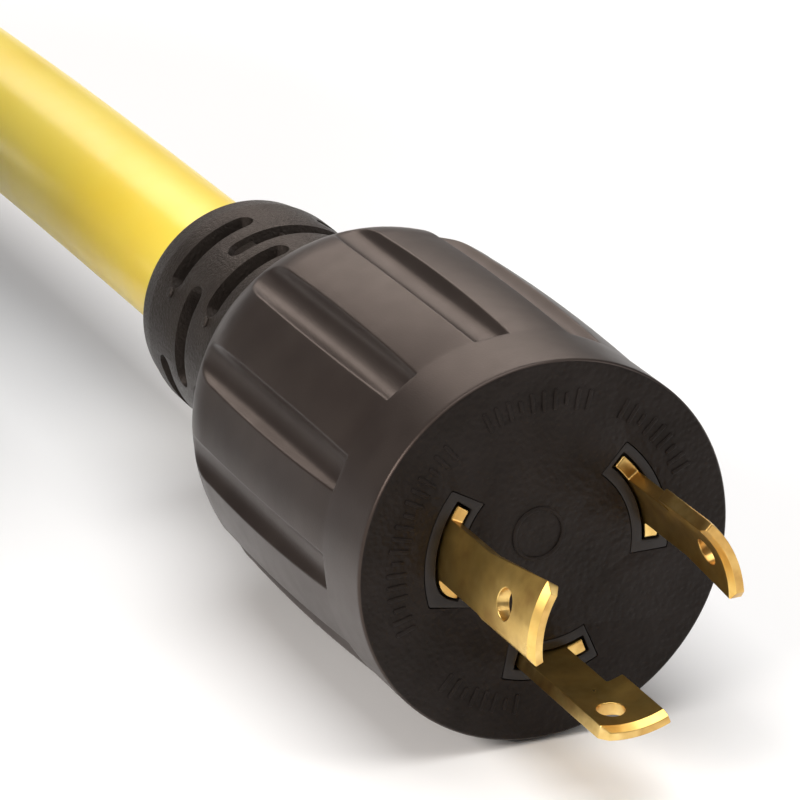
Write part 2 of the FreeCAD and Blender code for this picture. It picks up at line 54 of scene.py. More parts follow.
# ---- moulded bodies ----
BAND_R = 24.0
RIM_R = 0.5
RIM_STEPS = 6
BAND_RINGS = (0.9, 2.5, 5.0, 7.5, 9.4, 10.0)     # distances behind the face
# The flutes' front wall: distance behind the face, and share of the flutes' full depth.
WALL_RINGS = ((10.2, 0.03), (10.28, 0.25), (10.34, 0.75), (10.42, 0.97))
# Points of the grip's outline: distance behind the face, and radius.
GRIP_START = (11.05, 24.02)
SWELL = (31.67, 24.6)
SHOULDER = (46.5, 24.3)
SHOULDER_MID = (57.6, 21.15)
ARC_RINGS = 22           # rings along each of the outline's two arcs
BODY_L = 63.4
BODY_REAR_R = 15.5
FLUTES = 12
FLUTE_PHASE = 5.5
FLUTE_HALF = 2.6
FLUTE_DEPTH = 1.7
FLUTE_FLOOR_R = SWELL[1] - FLUTE_DEPTH
FLUTE_POWER = 3.0        # how square the flute's hollow is
FLUTE_EDGE = 0.28        # rounding of the flute's edges
CONNECTOR_EXTRA = 6.0    # the connector's body is this much longer
EXTRA_AT_SWELL = 0.585   # share of that length in front of the swell
FACE_ZONE_R = 17.0       # the windows' walls lie inside this radius
FACE_ZONE_L = 13.0       # and no further behind the face than this

# ---- strain relief ----
RELIEF_R = 15.2
RELIEF_L = 29.6
RELIEF_TAPER_L = 3.9
RELIEF_END_R = 14.4
SLOT_ROWS = (8.5, 14.3, 20.6)
SLOT_W = 3.4
SLOT_DEPTH = 3.2
SLOT_ARC = 54.0
SLOTS_PER_ROW = 4
SLOT_PHASE = 125.0
SLOT_STAGGER = 45.0
SLOT_BOTTOM = RELIEF_R - SLOT_DEPTH
SLOT_EDGE = 0.16         # rounding of the slots' edges
POST_R = 14.3            # top of the long slot's post and of its shallow end
# The top slot of the middle row is longer: its middle angle, arc, and the radius of its
# bottom up to each angle.  It has a thin post in it and a shallow end.
LONG_SLOT = (87.5, 69.0, ((88.6, SLOT_BOTTOM), (91.4, POST_R), (106.0, SLOT_BOTTOM),
                          (180.0, POST_R)))
PIP = (154.9, 5.4, 1.3)  # moulding pip past a slot's end: middle angle, arc and width
PIP_H = 0.4
PIP_BURIED = 0.3
END_POINTS = 9           # points round each end of a slot or pip
BAR_STEP = 0.6           # distance between the cuts that let a slot or pip bend
BAR_CUTS = 15            # on each side of its middle

# ---- raised marks on the face: bars round it, and a plain ring ----
MARK_R = 19.2
MARK_L = 2.6
SHORT_MARK = 0.6         # length of every fourth bar against the others
MARK_W = 0.5
MARK_H = 0.2
MARK_STEP = 4.4
MARK_ARCS = ((24.0, 62.0), (74.0, 117.0), (130.0, 203.0), (228.0, 262.0))
RING_CENTRE = (-1.0, 2.6)
RING_R = 3.4
RING_POINTS = 48

# ---- blades ----
BLADE_T = 1.6
BLADE_BURIED = 1.5
SHOULDER_H = 10.6
HOLE_R = 1.78
HOLE_S = 17.0
TIP_TAPER = 1.0
TIP_CORNER = (1.0, 0.9)  # how far the tip's slanted corner reaches across and along
NOTCH_FROM = 0.1         # how far out of the face a notch starts
SPARE = 3.0              # degrees that a blade's middle line runs past its root
STEP_ACROSS = 0.4        # spacing of the edges that let a blade bend
STEP_ALONG = 1.5
SLOT_GAP = 0.35
SLOT_STEPS = 30
COLLAR_DEPTH = 1.6
CONNECTOR_COLLAR_DEPTH = 6.0
COLLAR_GAP = 0.06        # between a collar and its nominal outline
WINDOW_GAP = 0.05        # between that outline and the body's window
WINDOW_EDGE = 0.14
WINDOW_SPARE = 0.3       # the window is this much deeper than the collar
CONNECTOR_WINDOW_DEPTH = 12.0
# Each blade: outer radius, length, angles of its parts, and how deep its tip is chamfered
# on the outside and on the inside.
BLADES = {
    "neutral": {"outer_r": 14.55, "length": 22.0, "root": (-1.5, 46.5), "neck": (6.9, 35.5),
                "tip": (1.0, 46.5), "hole": 21.2, "chamfer": (0.1, 0.5)},
    "hot": {"outer_r": 14.55, "length": 22.0, "root": (-104.5, -68.0), "neck": (-104.5, -77.3),
            "tip": (-104.5, -68.0), "hole": -89.5, "chamfer": (0.1, 0.55)},
    "ground": {"outer_r": 13.9, "length": 24.5, "root": (145.0, 185.0), "neck": (152.5, 184.0),
               "tip": (145.0, 188.0), "hole": 168.2, "chamfer": (0.6, 0.1)},
}
# Each collar: inner and outer radius, the angles of its outer and of its inner edge's ends.
COLLARS = {
    "neutral": (11.2, 16.1, (-7.5, 50.0), (-10.6, 51.0)),
    "hot": (11.3, 16.2, (-110.4, -64.1), (-114.3, -63.2)),
    "ground": (11.0, 15.7, (140.7, 196.2), (136.5, 208.8)),
}
FOOT_TURN = 65.0         # degrees through which the ground blade's root is bent inward
FOOT_BEND_R = 1.94
FOOT_STEPS = 13
FOOT_L = 0.6
LIP_FROM = 184.0         # past this angle the outer corner of the ground blade's tip slopes
LIP_SLOPE = 0.6

# ---- cord ----
CORD_D = 20.2
COIL_CENTRE = (-160.0, -159.0)
COIL_MEAN_R = 103.5
COIL_LAYERS = 4
COIL_TURNS = 10.9
COIL_START_DEG = 180.0
CLIMB_TURNS = 0.5        # the part of a turn in which the cord climbs to the next layer
CLIMB_BULGE = 1.5        # how far it swings out of the layer's edge meanwhile
POINTS_PER_TURN = 16
TIE_T = 1.3
TIE_W = 25.0
TIE_ANGLES = (5.0, 80.0)
TIE_GAP = 0.1            # between the lowest turns and the ties under them
TIE_STEPS = 8
TIE_EDGE = 0.25          # how much tighter a tie's edges are than its middle
LEAD_ROUTE = [
    (-58.75, 0.0, 24.6),
    (-98.0, 0.0, 24.6),
    (-149.0, -0.2, 24.2),
    (-198.0, -0.8, 23.0),
    (-239.0, -18.0, 20.4),
    (-270.5, -49.5, 17.0),
    (-287.5, -91.0, 13.6),
    (-287.6, -135.5, 11.7),
]
TAIL_ROUTE = [
    (-251.0, -69.0, 74.5),
    (-273.0, -103.6, 80.5),
    (-281.0, -143.8, 87.0),
    (-274.0, -184.0, 93.0),
    (-253.0, -219.5, 98.5),
    (-221.2, -245.3, 103.5),
    (-182.4, -258.5, 106.8),
    (-147.0, -258.5, 106.8),
]

# ---- camera, floor and light: places and sizes in metres, powers in watts ----
CAMERA_PLACE = (0.4680, -0.2149, 0.2344)
CAMERA_FORWARD = (-0.8478, 0.3833, -0.3665)
CAMERA_RIGHT = (0.412, 0.9112, 0.0)
CAMERA_LENS = 202.5      # millimetres
FLOOR_HALF = 4.0
# Each light: name, place, target, size, power and colour.
LIGHTS = (
    ("back", (-1.25, 0.36, 0.78), (0, 0, 0.02), (1.15, 0.4), 5.0, (1.0, 0.86, 0.77)),
    ("top", (0.1, 0.0, 1.7), (0, 0, 0), (1.5, 1.5), 25.5, (1, 1, 1)),
    ("right", (0.75, 1.1, 0.75), (0, 0, 0.02), (0.6, 0.6), 5, (1, 1, 1)),
    ("left", (0.12, -0.95, 0.55), (0, -0.06, 0.0), (0.9, 0.35), 11, (1.0, 0.94, 0.89)),
)
STUDIO_LIGHT = 0.18

NAMES = ("neutral", "hot", "ground")
PLUG = {"prefix": "plug_", "face": MOUNTS["plug_face"], "hand": 1, "stretch": 0.0}
CONNECTOR = {"prefix": "connector_", "face": MOUNTS["connector_face"], "hand": -1,
             "stretch": CONNECTOR_EXTRA}


# =============================== camera and cord ===============================
def make_camera():
    """A long lens that looks down on the blades from their left."""
    camera = bpy.data.objects.new("camera", bpy.data.cameras.new("camera"))
    bpy.context.collection.objects.link(camera)
    camera.data.lens = CAMERA_LENS
    camera.data.sensor_width = 36.0
    forward = Vector(CAMERA_FORWARD).normalized()
    right = Vector(CAMERA_RIGHT).normalized()
    up = right.cross(forward).normalized()
    rotation = Matrix((right, up, -forward)).transposed().to_4x4()
    camera.matrix_world = Matrix.Translation(Vector(CAMERA_PLACE)) @ rotation
    camera.data.clip_start = 0.01
    bpy.context.scene.camera = camera


def coil_place(turns):
    """Radius and height of the wound cord's middle after this many turns.

    Each layer is a spiral that the next one runs back over; between two layers the cord
    keeps to the edge of the coil while it climbs by its own diameter.
    """
    spiral = (COIL_TURNS - (COIL_LAYERS - 1) * CLIMB_TURNS) / COIL_LAYERS
    low = COIL_MEAN_R - spiral * CORD_D / 2
    high = COIL_MEAN_R + spiral * CORD_D / 2
    layer = min(int(turns / (spiral + CLIMB_TURNS)), COIL_LAYERS - 1)
    into = turns - layer * (spiral + CLIMB_TURNS)
    inward = layer % 2 == 0
    travel = min(into / spiral, 1.0) * (high - low)
    radius = high - travel if inward else low + travel
    height = TIE_T + TIE_GAP + CORD_D / 2 + layer * CORD_D
    if into > spiral and layer < COIL_LAYERS - 1:
        climb = (into - spiral) / CLIMB_TURNS
        height += CORD_D * (1 - math.cos(math.pi * climb)) / 2
        bulge = CLIMB_BULGE * math.sin(math.pi * climb)
        radius += -bulge if inward else bulge
    return radius, height


def coil_route():
    """Control points of the coil's turns, a little outside the line that they shape."""
    outside = 1 / math.cos(math.pi / POINTS_PER_TURN)
    points = []
    for i in range(int(COIL_TURNS * POINTS_PER_TURN)):
        radius, height = coil_place(i / POINTS_PER_TURN)
        angle = math.radians(COIL_START_DEG) + 2 * math.pi * i / POINTS_PER_TURN
        points.append((COIL_CENTRE[0] + outside * radius * math.cos(angle),
                       COIL_CENTRE[1] + outside * radius * math.sin(angle), height))
    return points


def make_cord():
    """The whole cord as one smooth NURBS line with a round bevel."""
    route = LEAD_ROUTE + coil_route() + TAIL_ROUTE
    curve = bpy.data.curves.new("cord", "CURVE")
    curve.dimensions = "3D"
    spline = curve.splines.new("NURBS")
    spline.points.add(len(route) - 1)
    for point, place in zip(spline.points, route):
        point.co = (*(Vector(place) * MM), 1.0)
    spline.order_u = 3
    spline.use_endpoint_u = True
    spline.resolution_u = 8
    curve.bevel_depth = CORD_D / 2 * MM
    curve.bevel_resolution = 10
    curve.use_fill_caps = True
    cord = bpy.data.objects.new("cord", curve)
    bpy.context.collection.objects.link(cord)
    return cord


make_camera()
cord = make_cord()


# =============================== mesh helpers ===============================
def arc_through(a, b, c, count):
    """Points of the circle's arc from a by b to c."""
    (ax, ay), (bx, by), (cx, cy) = a, b, c
    d = 2 * (ax * (by - cy) + bx * (cy - ay) + cx * (ay - by))
    a2, b2, c2 = ax * ax + ay * ay, bx * bx + by * by, cx * cx + cy * cy
    ux = (a2 * (by - cy) + b2 * (cy - ay) + c2 * (ay - by)) / d
    uy = (a2 * (cx - bx) + b2 * (ax - cx) + c2 * (bx - ax)) / d
    start = math.atan2(ay - uy, ax - ux)
    sweep = math.atan2(cy - uy, cx - ux) - start
    sweep = (sweep + math.pi) % (2 * math.pi) - math.pi
    radius = math.hypot(ax - ux, ay - uy)
    angles = [start + sweep * i / (count - 1) for i in range(count)]
    return [(ux + radius * math.cos(t), uy + radius * math.sin(t)) for t in angles]


def polar(radius, degrees):
    """The point at this radius and angle."""
    return (radius * math.cos(math.radians(degrees)), radius * math.sin(math.radians(degrees)))


def arc_points(radius, low, high, step=2.0):
    """Points on a circle about the device's axis."""
    count = max(2, int(abs(high - low) / step) + 1)
    return [polar(radius, low + (high - low) * i / (count - 1)) for i in range(count)]


def rounded(points, radius, steps=4):
    """An outline whose corners that turn by more than 25 degrees are rounded."""
    result = []
    for i, corner in enumerate(points):
        here = Vector(corner)
        back = Vector(points[i - 1]) - here
        ahead = Vector(points[(i + 1) % len(points)]) - here
        turn = math.pi - back.angle(ahead)
        if turn < math.radians(25):
            result.append(tuple(here))
            continue
        reach = min(radius * math.tan(turn / 2), 0.45 * back.length, 0.45 * ahead.length)
        start = here + back.normalized() * reach
        end = here + ahead.normalized() * reach
        for k in range(steps + 1):
            t = k / steps
            result.append(tuple(start * (1 - t) ** 2 + here * 2 * t * (1 - t) + end * t * t))
    return result


def finish_mesh(name, bm, device, materials, move=None):
    """Turn a bmesh in the device's millimetres into an object in the row frame."""
    if move:
        for vert in bm.verts:
            vert.co = move(vert.co)
    face, hand = device["face"], device["hand"]
    for vert in bm.verts:
        vert.co = Vector((face.x + vert.co.x, face.y + hand * vert.co.y, face.z + vert.co.z)) * MM
    bmesh.ops.recalc_face_normals(bm, faces=bm.faces)
    mesh = bpy.data.meshes.new(name)
    bm.to_mesh(mesh)
    bm.free()
    for material in materials:
        mesh.materials.append(material)
    piece = bpy.data.objects.new(name, mesh)
    bpy.context.collection.objects.link(piece)
    return piece


def grid(rings, closed_ends=True):
    """A tube of quads from rings of points, with flat or open ends."""
    bm = bmesh.new()
    loops = [[bm.verts.new(p) for p in ring] for ring in rings]
    count = len(loops[0])
    for a, b in zip(loops, loops[1:]):
        for i in range(count):
            j = (i + 1) % count
            bm.faces.new((a[i], a[j], b[j], b[i]))
    if closed_ends:
        bm.faces.new(loops[0])
        bm.faces.new(list(reversed(loops[-1])))
    return bm


def lathe(profile):
    """A turned solid: profile is (s, radius) from front to rear."""
    segments = 160
    rings = []
    for s, radius in profile:
        rings.append([Vector((s, *polar(radius, 360.0 * i / segments))) for i in range(segments)])
    return grid(rings)


def slab(outlines, thickness, edge):
    """A flat plate in x and y with rounded edges, z from -thickness to 0."""
    curve = bpy.data.curves.new("outline", "CURVE")
    curve.dimensions = "2D"
    curve.fill_mode = "BOTH"
    curve.extrude = thickness / 2 - edge
    curve.bevel_depth = edge
    curve.bevel_resolution = 1
    curve.offset = -edge
    for outline in outlines:
        spline = curve.splines.new("POLY")
        spline.points.add(len(outline) - 1)
        for point, place in zip(spline.points, outline):
            point.co = (place[0], place[1], 0.0, 1.0)
        spline.use_cyclic_u = True
    holder = bpy.data.objects.new("outline", curve)
    bpy.context.collection.objects.link(holder)
    mesh = bpy.data.meshes.new_from_object(holder)
    bm = bmesh.new()
    bm.from_mesh(mesh)
    bpy.data.objects.remove(holder)
    bpy.data.curves.remove(curve)
    bpy.data.meshes.remove(mesh)
    bmesh.ops.remove_doubles(bm, verts=bm.verts, dist=0.002)
    for vert in bm.verts:
        vert.co.z -= thickness / 2
    return bm


def cut_across(bm, axis, places):
    """Add edges across a mesh so that it can bend there."""
    normal = Vector((1, 0, 0)) if axis == 0 else Vector((0, 1, 0))
    for place in places:
        geometry = bm.verts[:] + bm.edges[:] + bm.faces[:]
        bmesh.ops.bisect_plane(bm, geom=geometry, dist=1e-4, plane_co=normal * place,
                               plane_no=normal)


def join_into(bm, other):
    """Add another bmesh's geometry."""
    mesh = bpy.data.meshes.new("join")
    other.to_mesh(mesh)
    other.free()
    bm.from_mesh(mesh)
    bpy.data.meshes.remove(mesh)


def boolean_cut(piece, cutter, edge, angle):
    """Cut the cutter out of the piece, and round the edges that turn by more than the angle."""
    cut = piece.modifiers.new("cut", "BOOLEAN")
    cut.operation = "DIFFERENCE"
    cut.solver = "EXACT"
    cut.object = cutter
    bevel = piece.modifiers.new("edges", "BEVEL")
    bevel.width = edge * MM
    bevel.segments = 2
    bevel.limit_method = "ANGLE"
    bevel.angle_limit = math.radians(angle)
    bevel.use_clamp_overlap = True
    apply_modifiers(piece)
    bpy.data.objects.remove(cutter)


def apply_modifiers(piece):
    """Make what the modifiers show the piece's own mesh."""
    graph = bpy.context.evaluated_depsgraph_get()
    mesh = bpy.data.meshes.new_from_object(piece.evaluated_get(graph))
    piece.modifiers.clear()
    piece.data = mesh


def soften(piece, degrees):
    """Smooth shading, except across edges that turn by more than this."""
    piece.data.shade_smooth()
    piece.data.set_sharp_from_angle(angle=math.radians(degrees))


def settle(piece, slot, *nodes):
    """Attach a piece to the object and hide the CAD nodes that it stands for."""
    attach(piece, "root")
    if nodes:
        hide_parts(*nodes)
    return piece


# =============================== materials ===============================
class Look:
    """A procedural material under construction.

    Its first colour and roughness hold until a pattern is linked in their place.
    """

    def __init__(self, name, colour, roughness, metallic=0.0):
        self.material = bpy.data.materials.new(name)
        self.material.use_nodes = True
        self.tree = self.material.node_tree
        self.shader = self.tree.nodes["Principled BSDF"]
        self.set("Base Color", (*colour, 1.0))
        self.set("Roughness", roughness)
        self.set("Metallic", metallic)
        self.coords = self.tree.nodes.new("ShaderNodeTexCoord").outputs["Object"]
        self.normal = None

    def set(self, socket, value):
        """Give one of the shader's sockets a value that is the same all over."""
        self.shader.inputs[socket].default_value = value

    def link(self, output, socket):
        """Join two sockets."""
        self.tree.links.new(output, socket)

    def noise(self, size, detail, roughness=0.5, stretch=None):
        """Noise whose features are about this many millimetres across."""
        node = self.tree.nodes.new("ShaderNodeTexNoise")
        node.inputs["Scale"].default_value = 1 / (size * MM)
        node.inputs["Detail"].default_value = detail
        node.inputs["Roughness"].default_value = roughness
        self.link(self.stretched(stretch), node.inputs["Vector"])
        return node.outputs["Fac"]

    def cells(self, size, feature="F1"):
        """Voronoi cells about this many millimetres across."""
        node = self.tree.nodes.new("ShaderNodeTexVoronoi")
        node.feature = feature
        node.inputs["Scale"].default_value = 1 / (size * MM)
        self.link(self.coords, node.inputs["Vector"])
        return node.outputs["Distance"]

    def stretched(self, stretch):
        """The pattern's coordinates, scaled along each axis."""
        if stretch is None:
            return self.coords
        node = self.tree.nodes.new("ShaderNodeMapping")
        node.inputs["Scale"].default_value = stretch
        self.link(self.coords, node.inputs["Vector"])
        return node.outputs["Vector"]

    def ramp(self, value, low, high, a, b):
        """A value or colour from a to b as the input goes from low to high."""
        if isinstance(a, float):
            node = self.tree.nodes.new("ShaderNodeMapRange")
            for key, number in zip(("From Min", "From Max", "To Min", "To Max"), (low, high, a, b)):
                node.inputs[key].default_value = number
            self.link(value, node.inputs["Value"])
            return node.outputs["Result"]
        node = self.tree.nodes.new("ShaderNodeValToRGB")
        first, second = node.color_ramp.elements
        first.position, second.position = low, high
        first.color, second.color = (*a, 1.0), (*b, 1.0)
        self.link(value, node.inputs["Fac"])
        return node.outputs["Color"]

    def mix(self, factor, a, b):
        """Mix of two colours by a factor output."""
        node = self.tree.nodes.new("ShaderNodeMix")
        node.data_type = "RGBA"
        self.link(factor, node.inputs["Factor"])
        self.link(a, node.inputs["A"])
        self.link(b, node.inputs["B"])
        return node.outputs["Result"]

    def multiply(self, a, b):
        """Product of two outputs."""
        node = self.tree.nodes.new("ShaderNodeMath")
        node.operation = "MULTIPLY"
        self.link(a, node.inputs[0])
        self.link(b, node.inputs[1])
        return node.outputs["Value"]

    def bump(self, height, depth):
        """Raise the surface by up to this many millimetres."""
        node = self.tree.nodes.new("ShaderNodeBump")
        node.inputs["Distance"].default_value = depth * MM
        node.inputs["Strength"].default_value = 1.0
        self.link(height, node.inputs["Height"])
        if self.normal:
            self.link(self.normal, node.inputs["Normal"])
        self.normal = node.outputs["Normal"]
        self.link(self.normal, self.shader.inputs["Normal"])

    def colour(self, output):
        """Use an output as the surface's colour."""
        self.link(output, self.shader.inputs["Base Color"])

    def rough(self, output):
        """Use an output as the surface's roughness."""
        self.link(output, self.shader.inputs["Roughness"])


def grip_rubber():
    """Satin rubber of the moulded bodies, faintly mottled."""
    look = Look("grip_rubber", (0.045, 0.037, 0.031), 0.4)
    look.set("Specular Tint", (1.0, 0.79, 0.70, 1.0))
    look.set("Specular IOR Level", 0.43)
    blotch = look.noise(9.0, 4.0)
    look.colour(look.ramp(blotch, 0.35, 0.7, (0.013, 0.009, 0.0075), (0.020, 0.015, 0.0125)))
    look.rough(look.ramp(look.noise(3.0, 5.0), 0.3, 0.7, 0.35, 0.39))
    look.bump(look.noise(0.22, 2.0), 0.012)
    return look.material


def relief_rubber():
    """Duller, grainy rubber of the strain reliefs."""
    look = Look("relief_rubber", (0.040, 0.034, 0.029), 0.5)
    look.set("Specular Tint", (1.0, 0.84, 0.76, 1.0))
    look.set("Specular IOR Level", 0.36)
    blotch = look.noise(5.0, 4.0)
    look.colour(look.ramp(blotch, 0.35, 0.7, (0.012, 0.0095, 0.008), (0.020, 0.016, 0.013)))
    grain = look.noise(0.45, 3.0, 0.7)
    look.rough(look.ramp(grain, 0.3, 0.7, 0.32, 0.5))
    look.bump(grain, 0.16)
    return look.material


def face_rubber():
    """Black leather-like grain of the faces."""
    look = Look("face_rubber", (0.012, 0.0115, 0.012), 0.5)
    look.set("Specular Tint", (1.0, 0.88, 0.82, 1.0))
    look.set("Specular IOR Level", 0.16)
    grain = look.cells(0.7, "SMOOTH_F1")
    blotch = look.noise(6.0, 3.0)
    look.colour(look.ramp(blotch, 0.3, 0.75, (0.008, 0.006, 0.005), (0.015, 0.012, 0.011)))
    look.bump(grain, 0.16)
    look.bump(look.noise(0.45, 1.0), 0.05)
    return look.material


def insert_plastic():
    """Smooth dark plastic of the collars round the blades."""
    look = Look("insert_plastic", (0.032, 0.031, 0.031), 0.5)
    look.set("Specular IOR Level", 0.25)
    blotch = look.noise(4.0, 3.0)
    look.colour(look.ramp(blotch, 0.3, 0.7, (0.016, 0.013, 0.012), (0.023, 0.019, 0.017)))
    look.bump(look.noise(0.35, 2.0), 0.012)
    return look.material


def brass_sheet():
    """Rolled brass with a patchy brown and olive tarnish."""
    look = Look("brass_sheet", (0.55, 0.38, 0.13), 0.3, metallic=1.0)
    patches = look.noise(7.0, 2.0, 0.4)
    clean = look.ramp(look.noise(1.2, 2.0), 0.3, 0.7, (0.72, 0.47, 0.13), (0.82, 0.57, 0.18))
    tarnish = look.ramp(look.noise(2.5, 2.0), 0.35, 0.65, (0.50, 0.30, 0.08), (0.66, 0.43, 0.12))
    look.colour(look.mix(look.ramp(patches, 0.40, 0.62, 0.0, 1.0), clean, tarnish))
    look.rough(look.ramp(patches, 0.3, 0.7, 0.26, 0.38))
    look.bump(look.noise(1.0, 0.0, 0.4, (0.25, 1.0, 1.0)), 0.010)
    return look.material


def brass_edge():
    """Bright sheared edges of the brass."""
    look = Look("brass_edge", (0.85, 0.63, 0.28), 0.3, metallic=1.0)
    clean = look.ramp(look.noise(1.0, 2.0), 0.3, 0.7, (0.70, 0.47, 0.15), (0.84, 0.60, 0.23))
    brown = look.ramp(look.noise(1.5, 2.0), 0.3, 0.7, (0.46, 0.27, 0.08), (0.62, 0.38, 0.12))
    patches = look.noise(5.0, 2.0)
    look.colour(look.mix(look.ramp(patches, 0.38, 0.58, 0.0, 1.0), clean, brown))
    look.bump(look.noise(0.5, 1.0, 0.5, (0.2, 1.0, 1.0)), 0.015)
    return look.material


def copper():
    """Bare drawn copper of the conductors."""
    look = Look("copper", (0.75, 0.35, 0.2), 0.35, metallic=1.0)
    look.bump(look.noise(0.4, 2.0, 0.5, (0.1, 1.0, 1.0)), 0.03)
    return look.material


def jacket():
    """Yellow thermoplastic jacket with a soft gloss and a faint drawn texture."""
    look = Look("cord_jacket", (0.96, 0.72, 0.08), 0.32)
    blotch = look.noise(22.0, 3.0)
    look.colour(look.ramp(blotch, 0.3, 0.7, (0.95, 0.69, 0.065), (0.97, 0.75, 0.10)))
    look.rough(look.ramp(look.noise(6.0, 1.0), 0.3, 0.7, 0.29, 0.36))
    look.bump(look.noise(2.2, 0.0), 0.02)
    look.set("Subsurface Weight", 0.08)
    look.set("Subsurface Radius", (0.004, 0.003, 0.001))
    look.set("Coat Weight", 0.15)
    look.set("Coat Roughness", 0.2)
    return look.material


def plain_plastic(name, colour):
    """Insulation, inner mould and filler, all inside the devices."""
    look = Look(name, colour, 0.5)
    look.rough(look.ramp(look.noise(1.5, 3.0), 0.3, 0.7, 0.42, 0.58))
    look.bump(look.noise(0.5, 2.0), 0.01)
    return look.material


def tie_fabric():
    """Woven strap of the ties."""
    look = Look("tie_fabric", (0.02, 0.02, 0.023), 0.85)
    weave = look.multiply(look.cells(0.9), look.noise(0.35, 2.0))
    look.colour(look.ramp(weave, 0.05, 0.4, (0.012, 0.012, 0.014), (0.04, 0.04, 0.045)))
    look.bump(weave, 0.25)
    look.set("Sheen Weight", 0.4)
    return look.material


GRIP = grip_rubber()
RELIEF = relief_rubber()
FACE = face_rubber()
INSERT = insert_plastic()
BRASS = brass_sheet()
EDGE = brass_edge()
COPPER = copper()
JACKET = jacket()
TIE = tie_fabric()
INNER = plain_plastic("inner_plastic", (0.09, 0.09, 0.09))
FILLER = plain_plastic("filler_paper", (0.72, 0.66, 0.52))
CORES = {
    "neutral": plain_plastic("core_neutral", (0.8, 0.8, 0.76)),
    "hot": plain_plastic("core_hot", (0.02, 0.02, 0.02)),
    "ground": plain_plastic("core_ground", (0.02, 0.22, 0.05)),
}


# =============================== moulded body ===============================
def body_profile(stretch):
    """(s, radius) rings behind the flutes' front wall."""
    start = (-GRIP_START[0], GRIP_START[1])
    swell = (-SWELL[0] - EXTRA_AT_SWELL * stretch, SWELL[1])
    shoulder = (-SHOULDER[0] - stretch, SHOULDER[1])
    middle = (-SHOULDER_MID[0] - stretch, SHOULDER_MID[1])
    rear = (-BODY_L - stretch, BODY_REAR_R)
    grip = arc_through(start, swell, shoulder, ARC_RINGS)
    return grip + arc_through(shoulder, middle, rear, ARC_RINGS)[1:]


def flute_hollow(lateral):
    """Radius of the flute's hollow at this distance from its middle."""
    return FLUTE_FLOOR_R + FLUTE_DEPTH * (abs(lateral) / FLUTE_HALF) ** FLUTE_POWER


def soft_min(a, b, width):
    """The smaller of two numbers, rounded where they cross."""
    near = max(width - abs(a - b), 0.0) / width
    return min(a, b) - near * near * width / 4


def flute_stations(radius):
    """Distances from a flute's middle that follow its edge at this body radius."""
    depth = max(radius - FLUTE_FLOOR_R, 0.02)
    edge = FLUTE_HALF * (depth / FLUTE_DEPTH) ** (1 / FLUTE_POWER)
    hollow = [edge * f for f in (0.0, 0.25, 0.45, 0.62, 0.75, 0.85)]
    lip = [edge + d for d in (-0.16, -0.08, 0.0, 0.08, 0.16, 0.32)]
    lip[0] = max(lip[0], hollow[-1] + 0.02)
    return sorted(hollow + lip)


def body_ring(s, radius, fluted):
    """One ring of the body; fluted goes from 0 on the band to 1 on the grip."""
    stations = flute_stations(max(radius, 1.0))
    pitch = math.radians(360.0 / FLUTES)
    ring = []
    for k in range(FLUTES):
        middle = math.radians(FLUTE_PHASE) + k * pitch
        offsets = [math.asin(min(t / radius, 0.9)) for t in stations]
        last = offsets[-1]
        ridge = [last + (pitch / 2 - last) * f for f in (0.2, 0.45, 0.72)]
        side = list(zip(offsets, stations)) + [(a, radius * math.sin(a)) for a in ridge]
        spread = [(-a, t) for a, t in reversed(side)][:-1] + side + [(pitch / 2, FLUTE_HALF * 3)]
        for angle, lateral in spread:
            cut = soft_min(radius, flute_hollow(lateral), FLUTE_EDGE)
            if lateral > FLUTE_HALF * 1.8:
                cut = radius
            r = radius + (cut - radius) * fluted
            ring.append(Vector((s, r * math.cos(middle + angle), r * math.sin(middle + angle))))
    return ring


def moulded_body(device):
    """Smooth front band, fluted grip and rounded rear shoulder, with a window per collar."""
    stretch = device["stretch"]
    rings = []
    for i in range(RIM_STEPS + 1):
        turn = math.pi / 2 * i / RIM_STEPS
        rings.append((-RIM_R * (1 - math.cos(turn)), BAND_R - RIM_R * (1 - math.sin(turn)), 0.0))
    rings += [(-behind, BAND_R, 0.0) for behind in BAND_RINGS]
    rings += [(-behind, BAND_R, fluted) for behind, fluted in WALL_RINGS]
    rings += [(s, radius, 1.0) for s, radius in body_profile(stretch)]
    bm = grid([body_ring(*ring) for ring in rings])
    body = finish_mesh(device["prefix"] + "body_shell", bm, device, [GRIP, FACE])
    depth = CONNECTOR_WINDOW_DEPTH if device is CONNECTOR else COLLAR_DEPTH + WINDOW_SPARE
    proud = 2.0
    windows = bmesh.new()
    for name in NAMES:
        window = slab([collar_outline(name, WINDOW_GAP)], depth + proud, 0.0)
        for vert in window.verts:
            vert.co = Vector((vert.co.z + proud, vert.co.x, vert.co.y))
        join_into(windows, window)
    cutter = finish_mesh("windows", windows, device, [FACE])
    boolean_cut(body, cutter, WINDOW_EDGE, angle=65)
    for polygon in body.data.polygons:
        place = polygon.center / MM - device["face"]
        flat = polygon.normal.x > 0.9
        inside = place.yz.length < FACE_ZONE_R
        polygon.material_index = int(place.x > -FACE_ZONE_L and (flat or inside))
    soften(body, 50)
    return settle(body, "grip_rubber", device["prefix"] + "body")


def collar_outline(name, grow):
    """Outline of a blade's collar, grown by this much."""
    r_in, r_out, outer, inner = COLLARS[name]
    spread = math.degrees(grow / r_out)
    points = arc_points(r_out + grow, outer[0] - spread, outer[1] + spread)
    points += arc_points(r_in - grow, inner[1] + spread, inner[0] - spread)
    return rounded(points, 0.35)


